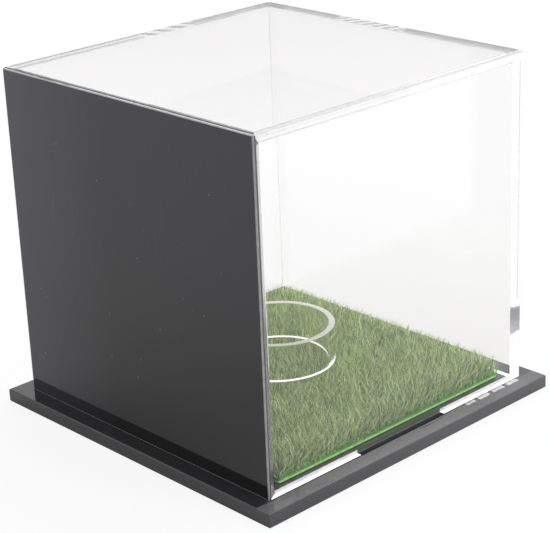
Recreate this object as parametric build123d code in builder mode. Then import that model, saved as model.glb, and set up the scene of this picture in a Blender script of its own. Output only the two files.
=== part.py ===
"""Golf ball display case: a clear cover with a black back, lifted off a black base plate.

The cover is five mitred acrylic panels bonded along their edges. A tab in the middle of each
wall drops into a slot in the base plate, so the cover lifts straight off. A square of artificial
turf is taped to the plate, and a short length of clear tube stands on it to hold the ball.

Millimetres. The origin is the centre of the base plate's underside, +Z is up, and the black
back panel is at +Y, so the case is looked into from -Y.
"""
import os

from build123d import *

# Cover
case_side = 100.0            # outside width and depth
cover_height = 96.0          # base plate to the outside of the top
panel_thickness = 3.0
cover_edge_bevel = 0.5       # polished off the outer edges after bonding

# Tabs under the walls, and the slots that take them
tab_length = 33.0
tab_recess = 0.5             # end of a tab up to the base plate's underside
slot_clearance = 0.3         # all round a tab

# Base plate
base_overhang = 5.0          # past the cover, on each side
base_thickness = 4.0
base_edge_bevel = 0.3

# Turf
turf_side_gap = 3.0          # edge of the turf to the inside of a side wall
turf_front_gap = 2.5         # and to the inside of the front wall
turf_back_gap = 4.5          # and to the inside of the black back
backing_thickness = 1.2
backing_corner_radius = 1.0
pile_height = 6.5
pile_corner_radius = 4.0
pile_edge_radius = 3.0       # outer blades splay and roll the pile's edge over

# Two strips of double-sided tape under the turf
tape_thickness = 0.3
tape_width = 19.0
tape_inset = 5.0             # strip to the edge of the turf, at its side and ends

# Ball ring, a length of tube
ring_diameter = 33.0
ring_wall = 1.75
ring_height = 11.0

# Places worked out from the sizes
half_side = case_side / 2
base_side = case_side + 2 * base_overhang
base_top = base_thickness
cover_top = base_top + cover_height
wall_middle = half_side - panel_thickness / 2
inside_width = case_side - 2 * panel_thickness
turf_width = inside_width - 2 * turf_side_gap
turf_depth = inside_width - turf_front_gap - turf_back_gap
turf_y = (turf_front_gap - turf_back_gap) / 2
turf_bottom = base_top + tape_thickness
pile_bottom = turf_bottom + backing_thickness
pile_top = pile_bottom + pile_height
ring_radius = ring_diameter / 2


def finish(piece, name):
    """Name a finished piece and write its STEP file."""
    piece.part.label = name
    export_step(piece.part, f"parts/{name}.step")


os.makedirs("parts", exist_ok=True)

# Base plate: the slots go right through, one under the middle of each wall
with BuildPart() as base_plate:
    with BuildSketch():
        Rectangle(base_side, base_side)
        with PolarLocations(wall_middle, 4):
            Rectangle(
                panel_thickness + 2 * slot_clearance,
                tab_length + 2 * slot_clearance,
                mode=Mode.SUBTRACT,
            )
    extrude(amount=base_thickness)
    plate_faces = base_plate.faces().filter_by(Axis.Z).sort_by(Axis.Z)
    rims = plate_faces[0].outer_wire().edges() + plate_faces[-1].outer_wire().edges()
    chamfer(rims, length=base_edge_bevel)
finish(base_plate, "base_plate")


def make_wall(turn):
    """A wall: mitred ends and top, square foot, and the tab. turn takes it round from the front."""
    side = Plane.XY.rotated((0, 0, turn))
    outer_y = -half_side
    inner_y = outer_y + panel_thickness
    mitre = Plane(
        origin=side.from_local_coords((0, outer_y, cover_top)),
        z_dir=side.from_local_coords((0, 1, 1)),
    )
    bevel = Plane(
        origin=side.from_local_coords((0, outer_y, cover_top - cover_edge_bevel)),
        z_dir=side.from_local_coords((0, -1, 1)),
    )
    with BuildPart() as wall:
        with BuildSketch(side.offset(base_top)):
            with BuildLine():
                right_end = Polyline(
                    (0, outer_y),
                    (half_side - cover_edge_bevel, outer_y),
                    (half_side - cover_edge_bevel / 2, outer_y + cover_edge_bevel / 2),
                    (half_side - panel_thickness, inner_y),
                    (0, inner_y),
                )
                mirror(right_end, about=Plane.YZ)
            make_face()
        extrude(amount=cover_height)
        split(bisect_by=mitre, keep=Keep.BOTTOM)
        split(bisect_by=bevel, keep=Keep.BOTTOM)
        with BuildSketch(side.offset(base_top)):
            with Locations((0, -wall_middle)):
                Rectangle(tab_length, panel_thickness)
        extrude(amount=tab_recess - base_thickness)
    return wall


for wall_name, wall_turn in (
    ("front_panel", 0),
    ("right_panel", 90),
    ("back_panel", 180),
    ("left_panel", 270),
):
    finish(make_wall(wall_turn), wall_name)

# Top panel: mitred on all four sides to the same bevel line as the walls
with BuildPart() as top_panel:
    with BuildSketch(Plane.XY.offset(cover_top - cover_edge_bevel / 2)):
        Rectangle(case_side - cover_edge_bevel, case_side - cover_edge_bevel)
    bevel_line = top_panel.pending_faces[0]
    extrude(amount=cover_edge_bevel / 2, taper=45)
    extrude(bevel_line, amount=cover_edge_bevel / 2 - panel_thickness, taper=45)
finish(top_panel, "top_panel")

# Turf: tape, backing sheet, and the pile as one soft block
tape_middle = turf_width / 2 - tape_inset - tape_width / 2
for tape_name, tape_x in (("turf_tape_left", -tape_middle), ("turf_tape_right", tape_middle)):
    with BuildPart() as turf_tape:
        with BuildSketch(Plane.XY.offset(base_top)):
            with Locations((tape_x, turf_y)):
                Rectangle(tape_width, turf_depth - 2 * tape_inset)
        extrude(amount=tape_thickness)
    finish(turf_tape, tape_name)

with BuildPart() as turf_backing:
    with BuildSketch(Plane.XY.offset(turf_bottom)):
        with Locations((0, turf_y)):
            RectangleRounded(turf_width, turf_depth, backing_corner_radius)
    extrude(amount=backing_thickness)
finish(turf_backing, "turf_backing")

with BuildPart() as turf_pile:
    with BuildSketch(Plane.XY.offset(pile_bottom)):
        with Locations((0, turf_y)):
            RectangleRounded(turf_width, turf_depth, pile_corner_radius)
    extrude(amount=pile_height)
    fillet(turf_pile.faces().sort_by(Axis.Z)[-1].edges(), radius=pile_edge_radius)
finish(turf_pile, "turf_pile")

# Ball ring: stands on the pile at the middle of the case
with BuildPart() as ball_ring:
    with BuildSketch(Plane.XY.offset(pile_top)):
        Circle(ring_radius)
        Circle(ring_radius - ring_wall, mode=Mode.SUBTRACT)
    extrude(amount=ring_height)
finish(ball_ring, "ball_ring")
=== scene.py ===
"""Looks of the ball display case: clear cover with a black back, black plate, turf and ball ring."""
import math

import bpy
import numpy as np
from mathutils import Matrix, Vector


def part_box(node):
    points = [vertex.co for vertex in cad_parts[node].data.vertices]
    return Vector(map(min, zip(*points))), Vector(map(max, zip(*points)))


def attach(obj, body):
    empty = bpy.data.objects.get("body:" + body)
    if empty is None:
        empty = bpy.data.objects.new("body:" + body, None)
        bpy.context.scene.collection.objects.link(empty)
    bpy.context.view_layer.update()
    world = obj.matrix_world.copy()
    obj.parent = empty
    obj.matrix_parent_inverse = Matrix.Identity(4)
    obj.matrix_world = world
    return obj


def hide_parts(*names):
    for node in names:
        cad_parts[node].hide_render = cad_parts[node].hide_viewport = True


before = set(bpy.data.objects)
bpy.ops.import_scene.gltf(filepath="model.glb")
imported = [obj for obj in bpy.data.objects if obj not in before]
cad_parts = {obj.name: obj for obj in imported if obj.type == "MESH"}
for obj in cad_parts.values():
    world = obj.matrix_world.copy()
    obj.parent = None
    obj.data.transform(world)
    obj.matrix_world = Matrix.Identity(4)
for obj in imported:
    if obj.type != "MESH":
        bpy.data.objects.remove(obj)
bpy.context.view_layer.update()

MM = 0.001


# ---------------------------------------------------------------- sizes, read off the nodes

cover_low, cover_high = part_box("top_panel")
half_side = float(cover_high[0])    # up to the eased edge of the top, 0.25 mm inside the walls' faces
cover_top = float(cover_high[2])
under_top = float(cover_low[2])
panel_thickness = cover_top - under_top
inside = half_side - panel_thickness
edge_bevel = 0.5 * MM

front_low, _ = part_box("front_panel")
tab_end = float(front_low[2])
half_tab = 16.5 * MM
_, plate_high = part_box("base_plate")
plate_top = float(plate_high[2])

ring_low, ring_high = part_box("ball_ring")
ring_outer = float(ring_high[0])
ring_wall = 1.75 * MM
ring_foot = float(ring_low[2])
ring_top = float(ring_high[2])

pile_low, pile_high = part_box("turf_pile")
turf_half_width = float(pile_high[0] - pile_low[0]) / 2
turf_half_depth = float(pile_high[1] - pile_low[1]) / 2
turf_y = float(pile_high[1] + pile_low[1]) / 2
pile_foot = float(pile_low[2])
pile_top = float(pile_high[2])

# Finishes measure in millimetres, from the middle of the case and from the underside of its plate.
wall_outer = -float(front_low[1]) / MM
wall_inner = wall_outer - panel_thickness / MM
lid_face = cover_top / MM
lid_under = under_top / MM
lid_middle = (lid_face + lid_under) / 2
plate_face = plate_top / MM
plate_edge = float(plate_high[0]) / MM
slot_end = half_tab / MM + 0.3

acrylic_ior = 1.49
white = (1.0, 1.0, 1.0)
no_light = (0.0, 0.0, 0.0)
edge_tint = (0.98, 0.98, 0.985)    # of clear sheet under frost or the painted foot reflection


# ---------------------------------------------------------------- shader recipes

class Value:
    """A socket in a recipe. An expression on values adds its Math nodes."""

    def __init__(self, recipe, socket):
        self.recipe = recipe
        self.socket = socket

    def maths(self, operation, first, second=0.0):
        return self.recipe.node("ShaderNodeMath", {"operation": operation}, {0: first, 1: second})

    def __add__(self, other):
        return self.maths("ADD", self, other)

    def __sub__(self, other):
        return self.maths("SUBTRACT", self, other)

    def __rsub__(self, other):
        return self.maths("SUBTRACT", other, self)

    def __mul__(self, other):
        return self.maths("MULTIPLY", self, other)

    def __gt__(self, other):
        return self.maths("GREATER_THAN", self, other)

    def __lt__(self, other):
        return self.maths("LESS_THAN", self, other)

    def __abs__(self):
        return self.maths("ABSOLUTE", self)

    def __neg__(self):
        return self.maths("MULTIPLY", self, -1.0)

    __radd__ = __add__
    __rmul__ = __mul__

    def most(self, other):
        return self.maths("MAXIMUM", self, other)

    def least(self, other):
        return self.maths("MINIMUM", self, other)

    def wave(self, pitch):
        """A sine that comes round once in every pitch of the value."""
        return self.maths("SINE", self * (2 * math.pi / pitch))


class Recipe:
    """The nodes of one material, or of the world."""

    def __init__(self, name, world=None):
        self.owner = world or bpy.data.materials.new(name)
        self.owner.use_nodes = True
        self.tree = self.owner.node_tree
        self.tree.nodes.clear()
        if world is None:
            self.sheet = self.tree.nodes.new("ShaderNodeOutputMaterial")
        else:
            self.sheet = self.tree.nodes.new("ShaderNodeOutputWorld")

    def node(self, kind, settings=None, sockets=None, out=0):
        """Add a node: its settings first, then what its sockets hold or are linked to."""
        made = self.tree.nodes.new(kind)
        for name, setting in (settings or {}).items():
            if name == "stops":
                ramp = made.color_ramp.elements
                while len(ramp) < len(setting):
                    ramp.new(0.5)
                for stop, (place, shade) in zip(ramp, setting):
                    stop.position = place
                    stop.color = (*shade, 1.0)
            else:
                setattr(made, name, setting)
        for name, held in (sockets or {}).items():
            socket = made.inputs[name]
            if isinstance(held, Value):
                self.tree.links.new(held.socket, socket)
            elif socket.type == "RGBA":
                socket.default_value = (*held, 1.0)
            else:
                socket.default_value = held
        return Value(self, made.outputs[out])

    def place(self):
        """Where a point is on the object, in metres."""
        return self.node("ShaderNodeTexCoord", out="Object")

    def along(self, axis):
        """One coordinate of the place, in millimetres."""
        return self.node("ShaderNodeSeparateXYZ", {}, {0: self.place()}, out=axis) * 1000.0

    def stretched(self, size, turn=(0.0, 0.0, 0.0)):
        """The place, turned and scaled for a pattern."""
        return self.node("ShaderNodeMapping", {}, {
            "Vector": self.place(), "Rotation": turn, "Scale": size})

    def noise(self, scale, detail=2.0, rough=0.5, place=None):
        return self.node("ShaderNodeTexNoise", {}, {
            "Vector": place or self.place(), "Scale": scale, "Detail": detail, "Roughness": rough})

    def cells(self, scale):
        """How far a point is from the nearest of many that are scattered evenly."""
        return self.node("ShaderNodeTexVoronoi", {"feature": "F1"}, {
            "Vector": self.place(), "Scale": scale, "Randomness": 1.0})

    def ramp(self, value, low, high, to_low=0.0, to_high=1.0):
        """value, from low..high to to_low..to_high, held at its ends."""
        return self.node("ShaderNodeMapRange", {"clamp": True}, {
            "Value": value, "From Min": low, "From Max": high, "To Min": to_low, "To Max": to_high})

    def tint(self, share, first, second):
        """A colour between first and second."""
        return self.node("ShaderNodeMix", {"data_type": "RGBA"}, {0: share, 6: first, 7: second}, out=2)

    def bump(self, height, depth, strength=1.0):
        return self.node("ShaderNodeBump", {}, {
            "Height": height, "Distance": depth, "Strength": strength})

    def principled(self, **sockets):
        named = {name.replace("_", " "): held for name, held in sockets.items()}
        return self.node("ShaderNodeBsdfPrincipled", {}, named)

    def see_through(self, shade):
        return self.node("ShaderNodeBsdfTransparent", {}, {"Color": shade})

    def mixed(self, share, first, second):
        return self.node("ShaderNodeMixShader", {}, {0: share, 1: first, 2: second})

    def ray(self, kind):
        """What Light Path tells of a ray: whether it is of one kind, or how often it has bounced."""
        return self.node("ShaderNodeLightPath", out=kind)

    def let_lamps_through(self, glass, shade):
        """Clear acrylic lights what is behind it: soft light passes it straight on."""
        soft = self.ray("Is Shadow Ray").most(self.ray("Is Diffuse Ray"))
        return self.mixed(soft, glass, self.see_through(shade))

    def finish(self, surface):
        self.tree.links.new(surface.socket, self.sheet.inputs["Surface"])
        return self.owner


# ---------------------------------------------------------------- black finishes

def polished_black(name, depth, dust_amount):
    """Polished black sheet: nearly a mirror, with faint smears, dust and hairline scratches.

    Gives a recipe with the colour, roughness and grain that a finish starts from.
    """
    mix = Recipe(name)
    smear = mix.noise(28.0, 3.0, 0.6, mix.stretched((1.0, 1.0, 0.45)))
    specks = mix.ramp(mix.cells(240.0), 0.03, 0.075, 1.0, 0.0)
    dust = specks * (mix.noise(90.0, 1.0) > 0.56) * dust_amount
    hair = mix.noise(55.0, 2.0, 0.5, mix.stretched((9.0, 9.0, 0.35), (0.0, 0.5, 0.3)))
    scratch = mix.ramp(abs(hair - 0.5), 0.0, 0.006, 1.0, 0.0) * (smear > 0.58) * 0.5
    black = (depth, depth * 0.96, depth * 1.06)
    colour = mix.tint(dust.most(scratch * 0.07), black, (0.42, 0.41, 0.41))
    roughness = mix.ramp(smear, 0.35, 0.75, 0.03, 0.075) + dust * 0.4 + scratch * 0.1
    return mix, colour, roughness, mix.bump(smear + dust * 0.2, 0.00002, 0.25)


def black_panel_finish():
    """Black sheet whose eased edges are sanded rough and carry painted highlights, with a pale foot line
    and sawn grey mitres.
    """
    mix, colour, roughness, grain = polished_black("black_acrylic", 0.005, 0.3)
    across = mix.along("X")
    side = abs(across)
    depth = mix.along("Y")
    height = mix.along("Z")

    # a faint lilac film, thicker high up and towards the right, which also paints in a lighter reflection
    # of the room there
    film = mix.ramp(height, 35.0, lid_face, 0.0, 0.58) + mix.ramp(across, 8.0, wall_outer, 0.0, 0.6)
    colour = mix.tint(film * 0.052, colour, (0.94, 0.88, 1.15))

    slack = 0.03
    sawn = (abs(side - depth) < slack).most(abs(height - depth - (lid_face - wall_outer)) < slack)
    colour = mix.tint(sawn, colour, (0.03, 0.029, 0.033))

    # painted highlights: the eased corner and brow are lighter, the brow lightest as it faces the light
    # from above; a pale line runs along the foot
    corner = side + depth > 2 * wall_outer - 0.7
    brow = depth + height > wall_outer + lid_face - 0.53
    foot = (height < plate_face + 0.16) * (height > plate_face - 0.1)
    edge_patchiness = mix.ramp(mix.noise(700.0, 2.0, 0.6), 0.3, 0.7, 0.7, 1.0)
    colour = mix.tint(corner * edge_patchiness, colour, (0.30, 0.295, 0.30))
    colour = mix.tint(brow * edge_patchiness, colour, (0.48, 0.475, 0.48))
    colour = mix.tint(foot * edge_patchiness * 0.7, colour, (0.36, 0.355, 0.36))
    eased = corner.most(brow).most(foot)
    return mix.finish(mix.principled(
        Base_Color=colour, Roughness=roughness + eased * 0.35, IOR=acrylic_ior,
        Specular_IOR_Level=0.42, Normal=grain))


def black_plate_finish():
    """The base plate: dustier than the back, most of all outside the left wall; painted shade at its back,
    sanded edges with painted highlights on the rim.
    """
    mix, colour, roughness, grain = polished_black("black_plate", 0.044, 0.6)
    across = mix.along("X")
    depth = mix.along("Y")
    height = mix.along("Z")
    side = abs(across).most(abs(depth))
    middle = abs(across).least(abs(depth))
    upper = height > plate_face - 0.1
    rub = mix.noise(600.0, 2.0, 0.6)
    wiped = mix.noise(1.0, 3.0, 0.6, mix.stretched((160.0, 30.0, 160.0)))

    # painted shade: blacker towards the back and darkest on the back face, where the black panel shades
    # it; greyed by dust under the cover
    colour = mix.tint(mix.ramp(depth, -20.0, 40.0), colour, (0.022, 0.0205, 0.0235))
    colour = mix.tint(depth > plate_edge - 0.2, colour, (0.005, 0.0038, 0.0058))
    colour = mix.tint(upper * (side < wall_inner - 0.3), colour, (0.085, 0.082, 0.085))

    # a gritty film that was wiped along the left wall, thickest beside its middle, also painted lighter
    # for the light and reflection that this strip catches
    beside = upper * mix.ramp(-across, wall_outer - 0.2, wall_outer + 0.4)
    hazy_and_lit = beside * mix.ramp(wiped, 0.25, 0.75, 0.6, 1.0)
    grit = mix.ramp(mix.noise(1700.0, 3.0, 0.6), 0.3, 0.7)
    film = mix.tint(grit, (0.150, 0.146, 0.154), (0.232, 0.226, 0.236))
    coverage = mix.ramp(abs(depth - 2.0), 10.0, 45.0, 1.0, 0.74) * mix.ramp(depth, -50.0, -46.0, 0.6, 1.0)
    colour = mix.tint(hazy_and_lit * coverage, colour, film)

    # painted glints: a broken line of bright dashes on that film, towards the front, for reflections of
    # the walls' glowing edges
    line = abs(across + (wall_outer + 0.7) + (wiped - 0.5) * 1.2) < rub * 0.9 + 0.25
    broken = (depth + 2.2 + wiped * 1.5).wave(6.2) > -0.72
    painted_glints = upper * line * broken * (depth > -47.5) * (depth < -25.0)
    colour = mix.tint(painted_glints * mix.ramp(rub, 0.3, 0.7, 0.6, 1.0), colour, (0.78, 0.76, 0.78))

    # painted highlight along the rim, lightest at the front where the light falls, and the sanded lips of
    # the slots
    rim = side + height > plate_edge + plate_face - 0.33
    lit_rim = rim * mix.ramp(depth, -40.0, 30.0, 0.45, 0.05)
    slot_lip = upper * (abs(side - (wall_inner - 0.42)) < 0.13) * (middle < slot_end)
    sanded = lit_rim.most(slot_lip * 1.3) * mix.ramp(rub, 0.3, 0.75, 0.25, 0.7)
    colour = mix.tint(sanded, colour, (0.30, 0.295, 0.30))
    return mix.finish(mix.principled(
        Base_Color=colour, Roughness=roughness + rim * 0.25 + hazy_and_lit * 0.32,
        IOR=1.50, Specular_IOR_Level=0.75, Normal=grain))


# ---------------------------------------------------------------- clear finishes and bonds

def clear_glass(mix, tint):
    """Polished clear acrylic. Light led on and on inside a sheet comes straight out of it."""
    glass = mix.principled(
        Base_Color=tint, Roughness=0.0, IOR=acrylic_ior, Transmission_Weight=1.0,
        Specular_Tint=(0.55, 0.55, 0.55))
    led_on = mix.ray("Glossy Depth") > 1.5
    return mix.let_lamps_through(mix.mixed(led_on, glass, mix.see_through(white)), (0.97, 0.97, 0.975))


def wall_finish():
    """The clear walls, tinted darker low down: painted shade of the floor's shadow seen through them."""
    mix = Recipe("clear_acrylic")
    lighter_share = mix.ramp(mix.along("Z"), 15.0, 60.0)
    return mix.finish(clear_glass(mix, mix.tint(lighter_share, (0.952, 0.945, 0.942), (0.993, 0.991, 0.994))))


def lid_finish():
    """The top, a little hazier towards its front right corner."""
    mix = Recipe("clear_acrylic_top")
    lighter_share = mix.ramp(mix.along("Y") - mix.along("X"), -60.0, 60.0)
    return mix.finish(clear_glass(mix, mix.tint(lighter_share, (0.85, 0.833, 0.844), (0.94, 0.923, 0.935))))


def ring_finish():
    """The side of the ring: clear tube, a touch greener than the sheet."""
    mix = Recipe("ring_acrylic")
    return mix.finish(clear_glass(mix, (0.985, 0.99, 0.98)))


def seamless_bond(mix):
    """A bond so clear that it doesn't show."""
    return mix.see_through((0.99, 0.99, 0.99))


def bond_finish(name, along, start, end, pitch, slope, plain, dashed, core=1.0):
    """A mitre under the top: grey with fine air, but clearer and scored by a cutter from start to end.

    The scores are a pitch apart and lean by slope. plain and dashed say how strongly the grey and the
    scores show, and core how much of the grey is left along the middle of the joint past the end.
    """
    mix = Recipe(name)
    run = mix.along(along)
    height = mix.along("Z")
    # drawn out along the joint
    drawn = [300.0, 300.0, 300.0]
    drawn["XYZ".index(along)] = 44.0
    shake = mix.noise(1.0, 2.0, 0.55, mix.stretched(drawn))
    lean = (height - lid_middle) * slope + (shake - 0.5) * 2.0
    within = mix.ramp(run, start - 1.0, start + 1.0) * mix.ramp(run, end - 1.0, end + 1.0, 1.0, 0.0)
    scores = mix.ramp((run - start + lean).wave(pitch), -0.2, 0.45).most(0.15) * within * dashed

    ends = mix.ramp(abs(run), wall_inner - 0.2, wall_outer - 1.0, 1.0, 0.0)
    hollow = (run > end) * mix.ramp(abs(height - (lid_middle - 0.1)), 0.35, 0.75, 1.0 - core, 0.0)
    air = mix.ramp(height, lid_under + 0.2, lid_face - 0.6, plain * 0.55, plain)
    greyed = (1.0 - within) * ends * (1.0 - hollow) * air
    pocket = mix.principled(Base_Color=(0.40, 0.40, 0.41), Roughness=0.35, IOR=acrylic_ior)
    return mix.finish(mix.mixed(scores.most(greyed), seamless_bond(mix), pocket))


def clouded_bond_finish():
    """The left wall's mitre under the top, clouded by cement.

    It is whitest at the front, where a painted glow lifts it, and thinner at the rear, with a grey vein,
    bubbles and painted shade low down.
    """
    mix = Recipe("bond_left")
    run = mix.along("Y")
    height = mix.along("Z")
    shake = mix.noise(300.0, 2.0, 0.55)
    rear = mix.ramp(run, -9.0, -5.0)
    vein = rear * (abs(height + shake * 0.3 - (lid_middle + 0.25)) < 0.14) * 0.3
    # painted shade: the lower edge is greyed, more so towards the rear
    shaded_lower_edge = (height < lid_under + 0.3) * mix.ramp(run, -10.0, 45.0, 0.25, 0.6)
    bubbles = (mix.cells(420.0) < 0.24) * (run > 36.0) * (abs(height - (lid_middle - 0.3)) < 0.7) * 0.8
    scores = ((run + height * 1.5 + shake * 2.0).wave(9.0) > 0.93) * (1.0 - rear) * 0.5
    flaws_and_shade = vein.most(shaded_lower_edge).most(bubbles).most(scores)
    milky = mix.tint(rear, white, (1.0, 0.995, 0.985))
    share = 0.9 - rear * 0.3
    # painted glow: the cement glows, most at the front
    cement = mix.principled(
        Base_Color=mix.tint(flaws_and_shade, milky, (0.50, 0.50, 0.51)), Roughness=0.35, IOR=acrylic_ior,
        Emission_Color=mix.tint(rear, (0.16, 0.16, 0.16), (0.05, 0.048, 0.048)), Emission_Strength=1.0)
    return mix.finish(mix.mixed(share, seamless_bond(mix), cement))


def upright_bond_finish():
    """Upright mitres at the front. The right one is clear, and so is most of the left one.

    The left one has a clouded foot and cap, a starved grey patch over the foot and a thin grey seam.
    """
    mix = Recipe("bond_upright")
    across = mix.along("X")
    height = mix.along("Z")
    ragged = height + (mix.noise(500.0, 3.0, 0.6) - 0.5) * 1.5
    sloping = ragged + (across + wall_outer) * 0.6
    patch_low, patch_high, blur = 18.9, 25.8, 0.4
    starved = mix.ramp(sloping, patch_low - blur, patch_low + blur)
    starved = starved * mix.ramp(ragged, patch_high - blur, patch_high + blur, 1.0, 0.0)
    foot = mix.ramp(ragged, 14.0, 16.0, 0.95, 0.0)
    cap = (height > lid_under - 0.1) * 0.9
    seam = (abs(across + (wall_outer - 1.3)) < 0.2) * (ragged > 28.0) * (ragged < lid_under - 0.2)
    grey_part = starved.most(seam)
    mottle = mix.ramp(ragged + (mix.noise(1300.0, 2.0) - 0.5) * 9.0, 20.0, 22.5)
    grey = mix.tint(mottle, (0.68, 0.66, 0.70), (0.44, 0.42, 0.46))
    # painted glow: the white cement of the left joint glows faintly, the grey patch and seam don't
    cement = mix.principled(
        Base_Color=mix.tint(grey_part, white, grey), Roughness=0.4, IOR=acrylic_ior,
        Emission_Color=mix.tint(grey_part, (0.2, 0.2, 0.2), no_light), Emission_Strength=1.0)
    shown = (starved * 0.85).most(foot).most(cap).most(seam * 0.25) * (across < 0.0)
    return mix.finish(mix.mixed(shown, seamless_bond(mix), cement))


def plain_bond_finish():
    """Clear mitres bonded to the black panel, pale deeper in high on the uprights."""
    mix = Recipe("bond_to_black")
    height = mix.along("Z")
    inset = wall_outer - abs(mix.along("X"))
    high = mix.ramp(height, 50.0, 62.0) * (height < lid_under - 0.1)
    pale = mix.principled(Base_Color=(0.92, 0.92, 0.92), Roughness=0.5, IOR=acrylic_ior)
    return mix.finish(mix.mixed(mix.ramp(inset, 1.2, 1.8, 0.0, 0.6) * high, seamless_bond(mix), pale))


def stained_finish():
    """The eased edge of a clear sheet beside the black panel, stained by the joint."""
    mix = Recipe("stained_edge")
    stain = mix.tint(mix.noise(300.0, 2.0, 0.6), (0.05, 0.049, 0.052), (0.13, 0.128, 0.13))
    return mix.finish(mix.principled(Base_Color=stain, Roughness=0.3, IOR=acrylic_ior))


def bead_finish():
    """Cement squeezed out along the inside corners: a fine, broken, half clear line."""
    mix = Recipe("cement_bead")
    share = mix.ramp(mix.noise(180.0, 3.0, 0.6), 0.3, 0.7, 0.05, 0.20)
    cement = mix.principled(Base_Color=(0.62, 0.62, 0.62), Roughness=0.35, IOR=acrylic_ior)
    return mix.finish(mix.mixed(share, mix.see_through(white), cement))


def eased_finish():
    """Eased edges of the clear sheets: scraped, so half frosted."""
    mix = Recipe("eased_edge")
    share = mix.ramp(mix.noise(500.0, 3.0, 0.6), 0.35, 0.7, 0.75, 0.95)
    frost = mix.principled(Base_Color=(0.57, 0.567, 0.57), Roughness=0.5, IOR=acrylic_ior)
    return mix.finish(mix.mixed(share, clear_glass(mix, edge_tint), frost))


def sawn_finish():
    """Sawn foot of a wall, frosted, with a painted glow for the light that the sheet leads down to it."""
    mix = Recipe("sawn_edge")
    grain = mix.noise(900.0, 2.0)
    return mix.finish(mix.principled(
        Base_Color=mix.tint(grain, (0.88, 0.88, 0.89), (0.97, 0.97, 0.97)), Roughness=0.5,
        IOR=acrylic_ior, Emission_Color=white, Emission_Strength=0.45,
        Normal=mix.bump(grain, 0.0001, 0.4)))


def foot_reflection_finish():
    """A lilac band low on the inside of the walls: a painted reflection of the lit foot, with a faint
    painted glow.
    """
    mix = Recipe("painted_foot_reflection")
    share = mix.ramp(mix.noise(260.0, 3.0, 0.6), 0.3, 0.6, 0.62, 0.85)
    reflection_band = mix.principled(
        Base_Color=(0.70, 0.67, 0.70), Roughness=0.5, IOR=acrylic_ior,
        Emission_Color=(1.0, 0.96, 1.0), Emission_Strength=0.12)
    return mix.finish(mix.mixed(share, clear_glass(mix, edge_tint), reflection_band))


def ring_end_finish(name, colour, back_left, glow):
    """A sawn end of the ring, frosted: colour at its front right, back_left across from there, and glow as
    a painted glow.
    """
    mix = Recipe(name)
    grain = mix.noise(1400.0, 2.0)
    place = mix.ramp(mix.along("Y") - mix.along("X"), -6.0, 20.0)
    shade = mix.tint(place, colour, back_left)
    dull = mix.tint(place, [n * 0.84 for n in colour], [n * 0.84 for n in back_left])
    return mix.finish(mix.principled(
        Base_Color=mix.tint(grain, dull, shade), Roughness=0.55, IOR=acrylic_ior,
        Emission_Color=(1.0, 1.0, 0.98), Emission_Strength=glow,
        Normal=mix.bump(grain, 0.0001, 0.5)))


# ---------------------------------------------------------------- turf finishes

def grass_finish():
    """Fine plastic blades, mixed greens, with painted shade darker towards the root, straw yellow on some
    tips.
    """
    mix = Recipe("grass")
    shade = mix.node("ShaderNodeAttribute", {"attribute_name": "blade_shade"}, out="Fac")
    rise = mix.node("ShaderNodeAttribute", {"attribute_name": "blade_rise"}, out="Fac")
    patch = mix.noise(70.0, 2.0, 0.5)
    leaf = mix.node("ShaderNodeValToRGB", {"stops": (
        (0.0, (0.20, 0.28, 0.14)),
        (0.3, (0.40, 0.52, 0.24)),
        (0.65, (0.82, 0.94, 0.48)),
        (1.0, (1.0, 1.0, 0.84)),
    )}, {0: shade * 0.85 + patch * 0.12 + 0.02})
    # painted shade: each blade darkens towards its root, deep in the pile
    colour = mix.tint(mix.ramp(rise, 0.0, 0.6, 0.5, 1.0), (0.06, 0.10, 0.03), leaf)

    # the lowest blades along the rim take the lime of the backing
    rim_inset = 1.8
    side_rim = turf_half_width / MM - abs(mix.along("X"))
    end_rim = turf_half_depth / MM - abs(mix.along("Y") - turf_y / MM)
    outer = mix.ramp(side_rim.least(end_rim), 0.0, rim_inset, 1.0, 0.0)
    low = mix.ramp(mix.along("Z"), pile_foot / MM + 0.5, pile_foot / MM + 3.3, 1.0, 0.0)
    colour = mix.tint(outer * low * 0.6, colour, (0.28, 0.66, 0.16))
    solid = mix.principled(Base_Color=colour, Roughness=0.42, IOR=1.46, Specular_IOR_Level=0.4)
    glowing = mix.node("ShaderNodeBsdfTranslucent", {}, {"Color": colour})
    return mix.finish(mix.mixed(0.3, solid, glowing))


def backing_finish():
    """Cut edge of the turf's backing: bright lime low down, grass green where blades are tufted in."""
    mix = Recipe("turf_backing")
    weave = mix.noise(1100.0, 2.0, 0.6)
    lime = mix.tint(mix.ramp(weave, 0.3, 0.7), (0.22, 0.68, 0.13), (0.60, 0.94, 0.44))
    lime_top, blur = pile_foot / MM - 0.5, 0.15
    tufted = mix.ramp(mix.along("Z") + (weave - 0.5) * 0.8, lime_top - blur, lime_top + blur)
    return mix.finish(mix.principled(
        Base_Color=mix.tint(tufted, lime, (0.14, 0.27, 0.06)),
        Roughness=0.6, Normal=mix.bump(weave, 0.0002, 0.5)))


def tape_finish():
    """White double-sided tape with a crinkled film."""
    mix = Recipe("tape")
    crinkle = mix.noise(500.0, 3.0, 0.6)
    return mix.finish(mix.principled(
        Base_Color=mix.tint(crinkle, (0.72, 0.71, 0.66), (0.84, 0.83, 0.79)),
        Roughness=0.45, Normal=mix.bump(crinkle, 0.0001, 0.4)))


def give(piece, *finishes):
    """Put finishes on a piece's material slots, in order."""
    while len(piece.material_slots) < len(finishes):
        piece.data.materials.append(None)
    for slot, finish in zip(piece.material_slots, finishes):
        slot.material = finish


# ---------------------------------------------------------------- working on a shape

def select_nothing():
    for piece in list(bpy.context.selected_objects):
        piece.select_set(False)


def select_only(piece):
    select_nothing()
    piece.select_set(True)
    bpy.context.view_layer.objects.active = piece


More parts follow.
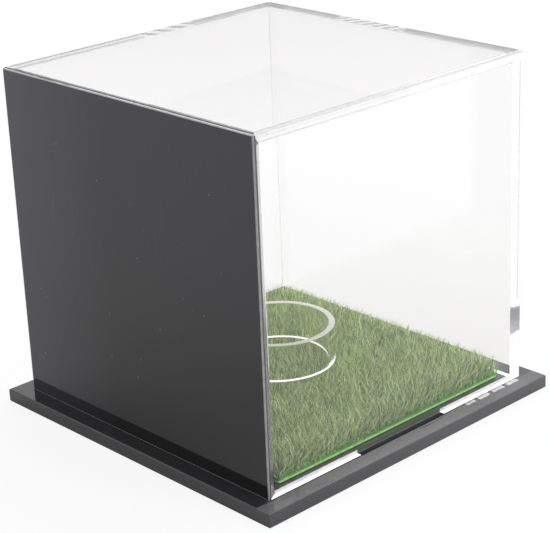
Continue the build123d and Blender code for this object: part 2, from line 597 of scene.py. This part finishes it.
def new_block(name, low, high):
    """A block between two corners, ready to be worked on."""
    middle = [(a + b) / 2 for a, b in zip(low, high)]
    select_nothing()
    bpy.ops.mesh.primitive_cube_add(size=1.0, location=middle)
    block = bpy.context.object
    block.scale = [b - a for a, b in zip(low, high)]
    block.name = name
    bpy.ops.object.transform_apply(location=True, rotation=True, scale=True)
    return block


def cut(piece, point, away, keep_all=False):
    """Saw through the piece at point. What lies on the side that away points to is dropped."""
    select_only(piece)
    bpy.ops.object.mode_set(mode="EDIT")
    bpy.ops.mesh.select_all(action="SELECT")
    bpy.ops.mesh.bisect(
        plane_co=point, plane_no=away, use_fill=not keep_all,
        clear_outer=not keep_all, clear_inner=False, threshold=1e-7)
    bpy.ops.object.mode_set(mode="OBJECT")


def select_faces(piece, wanted):
    """Select the faces for which wanted(centre, normal) holds."""
    select_only(piece)
    bpy.ops.object.mode_set(mode="EDIT")
    bpy.ops.mesh.select_mode(type="FACE")
    bpy.ops.mesh.select_all(action="DESELECT")
    bpy.ops.object.mode_set(mode="OBJECT")
    for face in piece.data.polygons:
        face.select = bool(wanted(face.center, face.normal))


def true_up(piece):
    """Merge doubles, turn the faces outwards, and set the object at the origin."""
    select_only(piece)
    bpy.ops.object.mode_set(mode="EDIT")
    bpy.ops.mesh.select_all(action="SELECT")
    bpy.ops.mesh.remove_doubles(threshold=1e-6)
    bpy.ops.mesh.normals_make_consistent(inside=False)
    bpy.ops.object.mode_set(mode="OBJECT")
    bpy.ops.object.transform_apply(location=True, rotation=True, scale=True)


# ---------------------------------------------------------------- clear panels

bond_gap = 0.02 * MM     # a mitre against the black panel stops this much short of it
foot_reflection_height = 0.95 * MM  # of the painted foot reflection low on the inside of a wall


def make_wall(name, turn, left_gap=0.0, right_gap=0.0):
    """A clear wall: sawn foot with its tab, mitred ends and top, polished bevels."""
    outer = -half_side
    inner = outer + panel_thickness
    wall = new_block(name, (-half_side, outer, plate_top), (half_side, inner, cover_top))
    # each edge is mitred, and then eased
    for side, gap in ((-1, left_gap), (1, right_gap)):
        cut(wall, (side * (half_side - gap), outer, 0), (side, 1, 0))
        cut(wall, (side * (half_side - edge_bevel), outer, 0), (side, -1, 0))
    cut(wall, (0, outer, cover_top), (0, 1, 1))
    cut(wall, (0, outer, cover_top - edge_bevel), (0, -1, 1))
    # lines at the ends of the tab and at the top of the painted foot reflection
    for end in (-half_tab, half_tab):
        cut(wall, (end, 0, 0), (1, 0, 0), keep_all=True)
    cut(wall, (0, 0, plate_top + foot_reflection_height), (0, 0, 1), keep_all=True)
    # the tab goes down from the middle of the foot
    select_faces(wall, lambda at, way: way.z < -0.9 and abs(at.x) < half_tab)
    bpy.ops.object.mode_set(mode="EDIT")
    bpy.ops.mesh.extrude_region_move(TRANSFORM_OT_translate={"value": (0, 0, tab_end - plate_top)})
    bpy.ops.object.mode_set(mode="OBJECT")
    wall.rotation_euler = (0, 0, math.radians(turn))
    true_up(wall)
    return wall


def make_top():
    """The clear top, mitred to the four walls, with polished bevels."""
    top = new_block("clear_top", (-half_side, -half_side, under_top), (half_side, half_side, cover_top))
    for turn in range(4):
        angle = turn * math.pi / 2
        way = Vector((math.cos(angle), math.sin(angle), 0))
        gap = bond_gap if turn == 1 else 0.0    # beside the black panel
        cut(top, way * (half_side - gap) + Vector((0, 0, cover_top)), way - Vector((0, 0, 1)))
        cut(top, way * (half_side - edge_bevel) + Vector((0, 0, cover_top)), way + Vector((0, 0, 1)))
    true_up(top)
    return top


CLEAR, FRONT_BOND, RIGHT_BOND, LEFT_BOND, UPRIGHT_BOND, EASED, SAWN, FOOT_REFLECTION, BLACK_BOND, STAINED = range(10)


def sort_faces(panel):
    """Put each face of a clear panel on the slot of its finish."""
    for face in panel.data.polygons:
        at, way = face.center, face.normal
        slanted = sorted(abs(n) for n in way)[1] > 0.5
        upright = abs(way.z) < 0.1
        outwards = way.x * at.x + way.y * at.y
        beside = abs(at.y) if abs(way.x) > 0.5 else abs(at.x)
        inner_foot = upright and outwards < 0 and plate_top < at.z < plate_top + foot_reflection_height
        face.material_index = CLEAR
        if slanted and upright:
            bonded = abs(Vector((at.x, at.y, 0)).normalized().dot(way)) < 0.9
            if at.y > 0:
                face.material_index = BLACK_BOND if bonded else STAINED
            else:
                face.material_index = UPRIGHT_BOND if bonded else EASED
        elif slanted:
            bonded = (way.z > 0) == (outwards < 0)
            if not bonded:
                face.material_index = STAINED if way.y > 0.5 else EASED
            elif abs(way.y) > 0.5:
                face.material_index = BLACK_BOND if at.y > 0 else FRONT_BOND
            else:
                face.material_index = RIGHT_BOND if at.x > 0 else LEFT_BOND
        elif way.z < -0.9 and at.z < plate_top + MM:
            face.material_index = SAWN
        elif inner_foot and beside > half_tab and panel.name != "clear_front":
            face.material_index = FOOT_REFLECTION


# in the order of their slots, after CLEAR
edge_finishes = (
    bond_finish("bond_front", "X", start=-7.5, end=18.0, pitch=3.84, slope=1.2, plain=0.80, dashed=0.62),
    bond_finish(
        "bond_right", "Y", start=-17.5, end=2.0, pitch=5.45, slope=-1.5,
        plain=0.85, dashed=0.95, core=0.25),
    clouded_bond_finish(),
    upright_bond_finish(),
    eased_finish(),
    sawn_finish(),
    foot_reflection_finish(),
    plain_bond_finish(),
    stained_finish(),
)
clear_wall = wall_finish()
clear_lid = lid_finish()

clear_front = make_wall("clear_front", 0)
clear_right = make_wall("clear_right", 90, right_gap=bond_gap)
clear_left = make_wall("clear_left", 270, left_gap=bond_gap)
clear_top = make_top()
for panel, node in (
    (clear_front, "front_panel"),
    (clear_right, "right_panel"),
    (clear_left, "left_panel"),
    (clear_top, "top_panel"),
):
    sort_faces(panel)
    give(panel, clear_lid if panel is clear_top else clear_wall, *edge_finishes)
    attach(panel, "cover")
    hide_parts(node)


bead_leg = 0.24 * MM
bead_foot = plate_top + 0.3 * MM


def lay_bead(corner, end, inwards):
    """A three-cornered bead of cement in the angle of two panels, from corner to end."""
    inwards = Vector(inwards) * bead_leg
    low = [min(a, b, a + c) for a, b, c in zip(corner, end, inwards)]
    high = [max(a, b, a + c) for a, b, c in zip(corner, end, inwards)]
    bead = new_block("bead", low, high)
    cut(bead, Vector(corner) + inwards / 2, inwards)
    true_up(bead)
    return bead


beads = [
    lay_bead((inside, -inside, bead_foot), (inside, -inside, under_top), (-1, 1, 0)),
    lay_bead((inside, -inside, under_top), (inside, inside, under_top), (-1, 0, -1)),
    lay_bead((-inside, -inside, under_top), (-inside, inside, under_top), (1, 0, -1)),
    lay_bead((-inside, -inside, under_top), (inside, -inside, under_top), (0, 1, -1)),
]
select_only(beads[0])
for bead in beads:
    bead.select_set(True)
bpy.ops.object.join()
cement_beads = bpy.context.object
cement_beads.name = "cement_beads"
give(cement_beads, bead_finish())
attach(cement_beads, "cover")


# ---------------------------------------------------------------- ball ring

def make_ring():
    """A length of clear tube, its ends sawn and eased."""
    select_nothing()
    bpy.ops.mesh.primitive_cylinder_add(
        vertices=160, radius=ring_outer, depth=ring_top - ring_foot,
        end_fill_type="NGON", location=(0, 0, (ring_top + ring_foot) / 2))
    tube = bpy.context.object
    tube.name = "clear_ring"
    bpy.ops.object.transform_apply(location=True, rotation=True, scale=True)
    select_faces(tube, lambda at, way: abs(way.z) > 0.9)
    bpy.ops.object.mode_set(mode="EDIT")
    bpy.ops.mesh.inset(thickness=ring_wall, depth=0.0, use_individual=True)
    bpy.ops.mesh.bridge_edge_loops()
    bpy.ops.object.mode_set(mode="OBJECT")
    ease = tube.modifiers.new("eased_ends", "BEVEL")
    ease.limit_method = "ANGLE"
    ease.angle_limit = math.radians(50)
    ease.width = 0.12 * MM
    ease.segments = 2
    select_only(tube)
    bpy.ops.object.modifier_apply(modifier=ease.name)
    true_up(tube)
    bpy.ops.object.shade_smooth_by_angle(angle=math.radians(15))
    # slots for the side, the top and the foot
    for face in tube.data.polygons:
        face.material_index = 1 if face.normal.z > 0.3 else 2 if face.normal.z < -0.3 else 0
    return tube


clear_ring = make_ring()
give(
    clear_ring,
    ring_finish(),
    ring_end_finish("ring_top", (0.74, 0.75, 0.67), (0.57, 0.62, 0.50), glow=0.0),
    # the foot carries a painted glow
    ring_end_finish("ring_foot", (0.93, 0.95, 0.92), (0.93, 0.95, 0.92), glow=0.45),
)
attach(clear_ring, "ring")
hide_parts("ball_ring")


# ---------------------------------------------------------------- turf pile

def make_blade():
    """One blade: a slim three-sided strand, root to tip, drawn to a point."""
    select_nothing()
    bpy.ops.mesh.primitive_cone_add(
        vertices=3, radius1=0.5, radius2=0.0, depth=1.0, end_fill_type="NOTHING", location=(0, 0, 0.5))
    blade = bpy.context.object
    bpy.ops.object.transform_apply(location=True, rotation=True, scale=True)
    for share in (0.4, 0.7, 0.88):
        cut(blade, (0, 0, share), (0, 0, 1), keep_all=True)
    select_faces(blade, lambda at, way: True)
    bpy.ops.object.mode_set(mode="EDIT")
    bpy.ops.mesh.quads_convert_to_tris()
    bpy.ops.object.mode_set(mode="OBJECT")
    points = np.empty(len(blade.data.vertices) * 3)
    blade.data.vertices.foreach_get("co", points)
    points = points.reshape(-1, 3)
    faces = np.array([list(face.vertices) for face in blade.data.polygons])
    bpy.data.objects.remove(blade)
    return points, faces


blade_limit = inside - 0.6 * MM    # no blade touches a wall
crown_rim = 4.0 * MM               # the pile comes up to its full height over this much of its rim
splayed_rim = 2.5 * MM             # blades nearer to the rim lean out over it
drooping_rim = 0.7 * MM            # and the last ones may hang down
blade_flatness = 0.6               # how thick a blade is, as a share of its width


def pile_cover(rim):
    """How high the pile stands so far in from its rim, as a share of its full height."""
    fall = min(max(rim / crown_rim, 0.0), 1.0)
    return 0.68 + 0.32 * math.sin(fall * math.pi / 2)


def grow_blade(chance, girth, rise, x, y):
    """The points of one blade with its root at x, y. It curls as it rises."""
    side_rim = turf_half_width - abs(x)
    end_rim = turf_half_depth - abs(y)
    rim = min(side_rim, end_rim)
    tall = (pile_top - pile_foot) * min(1.0, pile_cover(rim) * chance.uniform(0.7, 1.06))
    turn = chance.uniform(0, 2 * math.pi)
    width = chance.uniform(0.19, 0.32) * MM
    lean = chance.uniform(0.0, 0.25) * tall
    lean_way = chance.uniform(0, 2 * math.pi)
    bend = chance.uniform(0.0, 0.6)
    droop = 0.0
    if rim < splayed_rim:
        outwards = math.atan2(y, 0) if end_rim < side_rim else (0.0 if x > 0 else math.pi)
        lean_way = outwards + chance.uniform(-0.8, 0.8)
        lean = chance.uniform(0.2, 0.7) * 2.2 * MM
        if rim < drooping_rim:
            droop = chance.uniform(0.0, 0.8)
    cosine, sine = math.cos(turn), math.sin(turn)
    bx = (girth[:, 0] * cosine - girth[:, 1] * sine * blade_flatness) * width
    by = (girth[:, 0] * sine + girth[:, 1] * cosine * blade_flatness) * width
    reach = lean * rise ** 1.4 + bend * tall * 0.6 * rise ** 3
    sway = chance.uniform(-0.3, 0.3) * tall * rise ** 2
    px = x + bx + reach * math.cos(lean_way) - sway * math.sin(lean_way)
    py = y + turf_y + by + reach * math.sin(lean_way) + sway * math.cos(lean_way)
    arch = rise - bend * 0.3 * rise ** 4
    pz = pile_foot + arch * tall - droop * (rise ** 2) * (tall + 0.8 * MM)
    return np.stack([px, py, pz], 1)


def lay_turf(name, rows, seed):
    """A share of the pile: blades set out on a shaken grid."""
    chance = np.random.default_rng(seed)
    points, faces = make_blade()
    rise = points[:, 2]
    # swells the cone's 1 - rise to 1 - rise ** 4, so that a blade stays broad until near its tip
    fullness = 1.0 + rise + rise ** 2 + rise ** 3
    girth = points[:, :2] * fullness[:, None]
    made, shades = [], []
    for i in range(rows):
        for j in range(rows):
            x = (2 * (i + chance.random()) / rows - 1) * turf_half_width
            y = (2 * (j + chance.random()) / rows - 1) * turf_half_depth
            made.append(grow_blade(chance, girth, rise, x, y))
            shades.append(np.full(len(rise), chance.random()))
    whole = np.concatenate(made)
    whole[:, :2] = np.clip(whole[:, :2], -blade_limit, blade_limit)
    count = len(made)
    index = (faces[None] + np.arange(count)[:, None, None] * len(rise)).reshape(-1, 3)
    mesh = bpy.data.meshes.new(name)
    mesh.from_pydata(whole.tolist(), [], index.tolist())
    for label, numbers in (("blade_shade", np.concatenate(shades)), ("blade_rise", np.tile(rise, count))):
        layer = mesh.attributes.new(label, "FLOAT", "POINT")
        layer.data.foreach_set("value", numbers.astype(np.float32))
    mesh.update()
    turf = bpy.data.objects.new(name, mesh)
    bpy.context.collection.objects.link(turf)
    return turf


grass = grass_finish()
tufts = [lay_turf(f"grass_{part}", rows=96, seed=part) for part in range(1, 5)]
for turf in tufts:
    give(turf, grass)
    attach(turf, "base")
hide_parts("turf_pile")


# ---------------------------------------------------------------- nodes kept as they are

give(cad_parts["base_plate"], black_plate_finish())
give(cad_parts["back_panel"], black_panel_finish())
give(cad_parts["turf_backing"], backing_finish())
tape = tape_finish()
for strip in ("turf_tape_left", "turf_tape_right"):
    give(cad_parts[strip], tape)


# ---------------------------------------------------------------- floor, light and camera

def seen_share(mix, camera, glossy, transmission):
    """How much of the plain white each kind of ray gets."""
    share = mix.ray("Is Camera Ray") * camera
    share = share.most(mix.ray("Is Glossy Ray") * glossy)
    return share.most(mix.ray("Is Transmission Ray") * transmission)


def make_floor():
    """A wide round of white paper. The camera and clear sheets see most of it as plain white."""
    select_nothing()
    bpy.ops.mesh.primitive_circle_add(vertices=96, radius=3.0, fill_type="NGON", location=(0, 0, 0))
    floor = bpy.context.object
    floor.name = "floor"
    mix = Recipe("floor")
    paper = mix.principled(Base_Color=(0.90, 0.90, 0.90), Roughness=0.9, Specular_IOR_Level=0.0)
    glow = mix.node("ShaderNodeEmission", {}, {"Color": white, "Strength": 1.0})
    share = seen_share(mix, camera=0.86, glossy=0.12, transmission=0.84)
    give(floor, mix.finish(mix.mixed(share, paper, glow)))


def light_world():
    """A white room. Soft light from it is dimmer than it looks in gloss, in glass and from the camera."""
    world = bpy.data.worlds.new("studio")
    bpy.context.scene.world = world
    mix = Recipe("studio", world)
    seen = mix.node("ShaderNodeBackground", {}, {"Color": white, "Strength": 1.0})
    soft = mix.node("ShaderNodeBackground", {}, {"Color": (0.98, 0.99, 1.0), "Strength": 0.65})
    mix.finish(mix.mixed(seen_share(mix, camera=1.0, glossy=1.0, transmission=1.0), soft, seen))


def add_lamp(name, at, width, power):
    """A square softbox aimed at the case. It doesn't show in gloss or glass: the white world does."""
    lamp = bpy.data.lights.new(name, "AREA")
    lamp.size = width
    lamp.energy = power
    made = bpy.data.objects.new(name, lamp)
    made.location = at
    made.rotation_euler = (Vector((0, 0, 0.05)) - Vector(at)).to_track_quat("-Z", "Y").to_euler()
    made.visible_camera = False
    made.visible_glossy = False
    made.visible_transmission = False
    bpy.context.collection.objects.link(made)


def add_camera():
    """A long lens above the case, off the corner of its black back and its left wall."""
    camera = bpy.data.cameras.new("camera")
    camera.sensor_width = 36.0
    camera.lens = 112.78
    camera.clip_start = 0.01
    place = Vector((-332.696, 307.693, 215.425)) * MM
    heading = math.radians(227.096)
    dip = math.radians(21.186)
    roll = math.radians(2.384)
    ahead = Vector((-math.sin(heading) * math.cos(dip), math.cos(heading) * math.cos(dip), -math.sin(dip)))
    right = ahead.cross(Vector((0, 0, 1))).normalized()
    down = ahead.cross(right)
    right, down = (
        right * math.cos(roll) + down * math.sin(roll),
        down * math.cos(roll) - right * math.sin(roll),
    )
    made = bpy.data.objects.new("camera", camera)
    made.matrix_world = Matrix.Translation(place) @ Matrix((right, -down, -ahead)).transposed().to_4x4()
    bpy.context.collection.objects.link(made)
    bpy.context.scene.camera = made


make_floor()
light_world()
add_lamp("overhead_softbox", (-0.25, -0.30, 0.90), width=0.8, power=3.6)
add_lamp("far_softbox", (0.58, -0.54, 0.33), width=0.7, power=2.2)
add_lamp("side_softbox", (-0.75, -0.05, 0.45), width=0.5, power=2.7)
add_camera()
bpy.context.scene.view_settings.view_transform = "Standard"

select_nothing()
